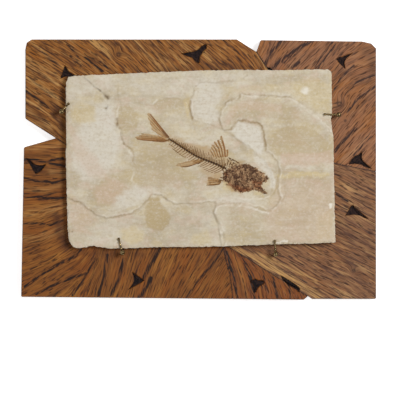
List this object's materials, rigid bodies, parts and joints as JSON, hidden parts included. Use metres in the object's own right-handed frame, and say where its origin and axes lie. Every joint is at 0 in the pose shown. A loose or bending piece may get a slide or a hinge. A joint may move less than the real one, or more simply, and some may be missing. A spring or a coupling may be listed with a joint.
{
  "type": "fossil fish slab",
  "caption": "Small fossil herring in a flaked limestone slab, held by brass ball pins on a varnished oak board glued up from angled offcuts with small carved pits.",
  "frame": {"origin": "middle of the board's underside, where the object rests on its back", "axes": "+X runs across the board towards the fish's snout, the longest way; +Y to the board's top edge; +Z out of the stone, the shortest way"},
  "size_m": [0.255, 0.187, 0.0238],
  "materials": {
    "oak_amber": "varnished oak, orange brown, fine grain",
    "oak_rosy": "varnished oak, pinkish brown, dark bands",
    "oak_umber": "varnished oak, mid brown, fine grain",
    "oak_wedge": "varnished oak, dark amber",
    "oak_striped": "varnished oak, wavy dark stripes",
    "limestone": "matte cream limestone, stained tan along its flaked beds",
    "fossil_bone": "dark brown mineralised bone, slight sheen",
    "fossil_fin": "tan mineralised fin rays, matte",
    "aged_brass": "aged brass, dull olive with worn highlights"
  },
  "bodies": {
    "root": {"board_top_left": "oak_amber", "board_top_right": "oak_rosy", "board_lower_right": "oak_umber", "board_bottom_wedge": "oak_wedge", "board_lower_left": "oak_striped", "slab": "limestone", "backbone": "fossil_bone", "nape_bones": "fossil_bone", "skull": "fossil_bone", "tail_fin": "fossil_fin", "dorsal_fin": "fossil_fin", "anal_fin": "fossil_fin", "pelvic_fin": "fossil_fin", "pin_left": "aged_brass", "pin_right": "aged_brass", "pin_bottom_left": "aged_brass", "pin_bottom_right": "aged_brass"}
  },
  "joints": []
}
